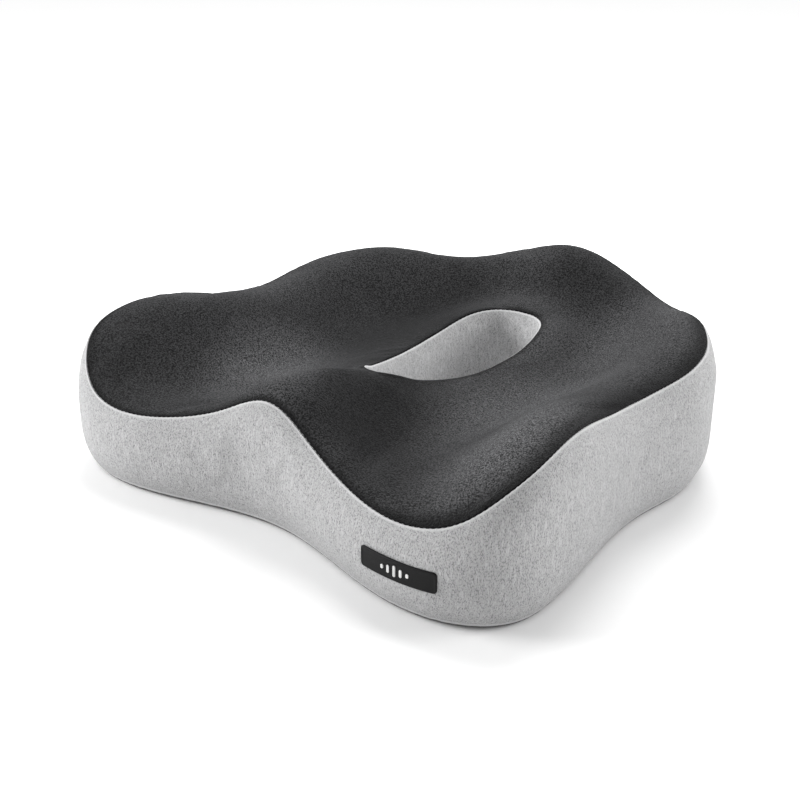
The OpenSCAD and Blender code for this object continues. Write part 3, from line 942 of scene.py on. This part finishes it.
def labelMark():
    # a plain row of upright bars
    whole = bmesh.new()
    bars = labelFacts["bars"]
    for i, high in enumerate(bars):
        bar = roundedPlate(labelFacts["barWide"], high, labelFacts["barCorner"], 4)
        stepFace(bar, raisePlate(bar, labelFacts["barHigh"]), labelFacts["barEdge"], labelFacts["barCrown"])
        across = (i - (len(bars) - 1) / 2) * labelFacts["barPitch"]
        bmesh.ops.translate(bar, vec=(across, 0, 0), verts=bar.verts)
        takeIn(whole, bar)
    ontoBand(whole, labelFacts["barSeat"])
    bmesh.ops.recalc_face_normals(whole, faces=whole.faces)
    return whole


addPiece("labelPatch", labelPatch(), finishes["label"], stands=["label_patch"])
addPiece("labelMark", labelMark(), finishes["mark"], stands=["label_mark"])
print("label made")

# zip


def roundZip(angle, radius, z):
    a = math.radians(angle)
    return Vector((radius * math.cos(a), zipFacts["middle"].y + radius * math.sin(a), z))


def zipFrame(angle):
    # x out of the band, y along it, z up
    a = math.radians(angle)
    out, along = Vector((math.cos(a), math.sin(a), 0)), Vector((-math.sin(a), math.cos(a), 0))
    return Matrix((out, along, Vector((0, 0, 1)))).transposed().to_4x4()


coilFacts = {
    "pitch": 1.45 * mm, "low": 0.65 * mm, "high": 2.9 * mm, "thick": 0.5 * mm,
    "deep": 1.1 * mm,        # half its depth
    "seat": 1.15 * mm,       # how far its middle lies inside the coil's outer radius
    "ends": 1,               # degrees left free at each end
}


def zipCoil(side):
    # one row of nylon links, each a short rounded bar across the zip
    arc = zipFacts["to"] - zipFacts["from"] - 2 * coilFacts["ends"]
    count = int(math.radians(arc) * zipFacts["coilRadius"] / coilFacts["pitch"])
    half = (coilFacts["high"] - coilFacts["low"]) / 2
    middle = zipFacts["middle"].z + side * (coilFacts["high"] + coilFacts["low"]) / 2
    link = bmesh.new()
    bmesh.ops.create_uvsphere(link, u_segments=8, v_segments=6, radius=1,
                              matrix=Matrix.Diagonal((coilFacts["deep"], coilFacts["thick"], half, 1)))
    places = []
    for i in range(count):
        share = (i + (0.5 if side > 0 else 0.0)) / count
        angle = zipFacts["from"] + coilFacts["ends"] + share * arc
        at = roundZip(angle, zipFacts["coilRadius"] - coilFacts["seat"], middle)
        places.append(Matrix.Translation(at) @ zipFrame(angle))
    return repeatShape(link, places)


addPiece("zipCoilUpper", zipCoil(1), finishes["coil"], stands=["zip_coil_upper"])
addPiece("zipCoilLower", zipCoil(-1), finishes["coil"], stands=["zip_coil_lower"])


edgeStitch = {
    "inset": 2.6 * mm,       # from the cloth's edge
    "beyond": 4,             # degrees past the ends of the zip
    "steps": 72, "pitch": 3.2 * mm, "raised": 0.05 * mm,
}


def clothTree(name):
    return BVHTree.FromObject(coverPieces[name], bpy.context.evaluated_depsgraph_get())


def fromOutside(tree, angle, z):
    # where a line from outside towards the middle of the back meets the cloth
    out = roundZip(angle, 1, 0) - roundZip(angle, 0, 0)
    return tree.ray_cast(roundZip(angle, zipFacts["outside"], z), -out)[0], out


def sewZipEdge(name, cloth, side):
    # the row of stitches that holds the folded cloth to the tape
    z = zipFacts["middle"].z + side * (zipFacts["slot"] + edgeStitch["inset"])
    tree = clothTree(cloth)
    start = zipFacts["from"] - edgeStitch["beyond"]
    arc = zipFacts["to"] - zipFacts["from"] + 2 * edgeStitch["beyond"]
    line = []
    for i in range(edgeStitch["steps"] + 1):
        hit, out = fromOutside(tree, start + arc * i / edgeStitch["steps"], z)
        if hit:
            line.append((hit, out))
    return sewLine(name, line, "pale thread", pitch=edgeStitch["pitch"], raised=edgeStitch["raised"])


bpy.context.view_layer.update()
sewZipEdge("zipStitchUpper", "rearBandUpper", 1)
sewZipEdge("zipStitchLower", "rearBandLower", -1)

pullFacts = {
    "long": 24 * mm, "wide": 6.4 * mm, "thick": 1.2 * mm, "corner": 2.2 * mm,
    "neck": 6 * mm,          # the arms' part of the length
    "rim": 1.1 * mm, "slope": 0.3 * mm, "sunk": 0.25 * mm,
    "armAt": (3.4 * mm, 2.4 * mm), "armLong": 7.2 * mm, "armWide": 1.6 * mm,
    "pin": 0.6 * mm, "pinLong": 6.4 * mm,
    "edge": 0.16 * mm,
}


def pullTab():
    # a rounded plate with a sunk face on each side and two arms to the pin, built lying along y
    thick = pullFacts["thick"]
    plateLong = pullFacts["long"] - pullFacts["neck"]
    bm = roundedPlate(plateLong, pullFacts["wide"], pullFacts["corner"])
    raisePlate(bm, thick)
    for up in (1, -1):
        face = [f for f in bm.faces if f.normal.z * up > 0.9]
        bmesh.ops.inset_region(bm, faces=face, thickness=pullFacts["rim"], depth=0)
        reach = plateLong / 2 - 0.5 * mm
        inner = [f for f in bm.faces if f.normal.z * up > 0.9 and len(f.verts) > 4
                 and all(abs(v.co.x) < reach for v in f.verts)]
        bmesh.ops.inset_region(bm, faces=inner, thickness=pullFacts["slope"], depth=-pullFacts["sunk"])
    bmesh.ops.translate(bm, vec=(pullFacts["long"] - plateLong / 2, 0, -thick / 2), verts=bm.verts)
    arms = bmesh.new()
    armX, armY = pullFacts["armAt"]
    armSize = Matrix.Diagonal((pullFacts["armLong"], pullFacts["armWide"], thick, 1))
    for side in (-1, 1):
        bmesh.ops.create_cube(arms, size=1, matrix=Matrix.Translation((armX, side * armY, 0)) @ armSize)
    pin = pullFacts["pin"]
    bmesh.ops.create_cone(arms, cap_ends=True, segments=16, radius1=pin, radius2=pin,
                          depth=pullFacts["pinLong"], matrix=Matrix.Rotation(math.radians(90), 4, "X"))
    takeIn(bm, arms)
    bevelEdges(bm, sharpEdges(bm, 40), pullFacts["edge"])
    # x runs along the band, y up it, z out of it
    lay = Matrix(((0, 0, 1, 0), (1, 0, 0, 0), (0, 1, 0, 0), (0, 0, 0, 1)))
    angle = zipFacts["sliderAt"]
    place = Matrix.Translation(roundZip(angle, zipFacts["pinRadius"], zipFacts["middle"].z))
    bmesh.ops.transform(bm, matrix=place @ zipFrame(angle) @ lay, verts=bm.verts)
    bmesh.ops.recalc_face_normals(bm, faces=bm.faces)
    return bm


addPiece("zipPullTab", pullTab(), finishes["metal"], body="pull_tab",
         stands=["zip_pull_tab"])

for name, finish in (("zip_tape_upper", "tape"), ("zip_tape_lower", "tape"), ("zip_stops", "metal"),
                     ("zip_slider", "metal")):
    node = nodes[name]
    for i in range(len(node.material_slots)):
        node.material_slots[i].material = finishes[finish]
for name in ("zip_stops", "zip_slider"):
    weld = nodes[name].modifiers.new("weld", "WELD")
    weld.merge_threshold = 0.005 * mm
    soft = nodes[name].modifiers.new("soft edges", "BEVEL")
    soft.width, soft.segments, soft.limit_method = 0.18 * mm, 2, "ANGLE"
    soft.angle_limit = math.radians(40)
print("zip made")

# care label

careFacts = {
    "low": 58 * mm, "high": 86 * mm, "from": 127.0, "to": 132.0,
    "thick": 0.3 * mm, "flat": (20 * mm, 28.5 * mm),
    "seat": 0.35 * mm, "curlOut": 1.6 * mm, "curlDown": 0.7 * mm,
}


def careLabel():
    bm = bmesh.new()
    bmesh.ops.create_grid(bm, x_segments=10, y_segments=16, size=0.5)
    trees = [clothTree("rearBandUpper"), clothTree("sideBand")]
    for v in bm.verts:
        across, up = v.co.x + 0.5, v.co.y + 0.5
        angle = careFacts["from"] + across * (careFacts["to"] - careFacts["from"])
        z = careFacts["low"] + up * (careFacts["high"] - careFacts["low"])
        hit = None
        for tree in trees:
            found, out = fromOutside(tree, angle, z)
            if found and (hit is None or (found - hit).dot(out) > 0):
                hit = found
        curl = careFacts["curlOut"] * (1 - across) ** 2 + careFacts["curlDown"] * (1 - up) ** 2
        v.co = hit + out * (careFacts["seat"] + curl)
    return bm


care = addPiece("careLabel", careLabel(), finishes["satin"], stands=["care_label"])
care.modifiers.new("ribbon", "SOLIDIFY").thickness = careFacts["thick"]
print("care label made")

# floor and light

floorFacts = {
    "half": 6, "near": 0.26, "far": 0.6,     # metres; near the object the floor's own glow is held low as painted shadow, and comes up between near and far
    "colour": (0.93, 0.93, 0.93, 1), "glow": 0.6, "paintedShadowGlow": (0.1, 0.1, 0.1, 1),
}
studioFacts = {
    "aim": (0, 0, 0.05),
    "fill": 0.4,             # strength of the even light from all round
    "lamps": {               # place, size in metres, power in watts
        "top": ((-0.5, 0.9, 1.8), 1.4, 36),
        "left": ((-1.25, -1.05, 0.75), 0.9, 27),
        "right": ((1.35, 0.85, 0.75), 0.9, 15),
    },
}


def softLight(name, place, size, power):
    data = bpy.data.lights.new(name, "AREA")
    data.shape, data.size, data.energy = "DISK", size, power
    lamp = bpy.data.objects.new(name, data)
    scene.collection.objects.link(lamp)
    lamp.location = place
    lamp.rotation_mode = "QUATERNION"
    lamp.rotation_quaternion = (Vector(studioFacts["aim"]) - Vector(place)).to_track_quat("-Z", "Y")


def addFloor():
    bm = bmesh.new()
    bmesh.ops.create_grid(bm, x_segments=8, y_segments=8, size=floorFacts["half"])
    mesh = bpy.data.meshes.new("floor")
    bm.to_mesh(mesh)
    bm.free()
    floor = bpy.data.objects.new("floor", mesh)
    scene.collection.objects.link(floor)
    finish, wire, place = startFinish("pale floor")
    far = place.node("VectorMath", {0: place}, pick=1, operation="LENGTH")
    # painted shadow: the floor glows less near the object
    away = step(far, floorFacts["near"], floorFacts["far"])
    glow = blendColours(away, floorFacts["paintedShadowGlow"], (1, 1, 1, 1))
    closeFinish(finish, floorFacts["colour"], 0.9,
                Specular_IOR_Level=0.1, Emission_Strength=floorFacts["glow"])
    shader = next(n for n in finish.node_tree.nodes if n.type == "BSDF_PRINCIPLED")
    finish.node_tree.links.new(glow.socket, shader.inputs["Emission Color"])
    mesh.materials.append(finish)


addFloor()
world = bpy.data.worlds.new("studio")
scene.world = world
world.use_nodes = True
sky = world.node_tree.nodes["Background"]
sky.inputs["Color"].default_value = (1, 1, 1, 1)
fill = studioFacts["fill"]
seen = Wire(world.node_tree).node("LightPath", pick=0)
strength = fill + (1 - fill) * seen                # plain white where the floor ends
world.node_tree.links.new(strength.socket, sky.inputs["Strength"])
for name, (place, size, power) in studioFacts["lamps"].items():
    softLight(name, place, size, power)
scene.view_settings.view_transform = "Standard"
print("lit")
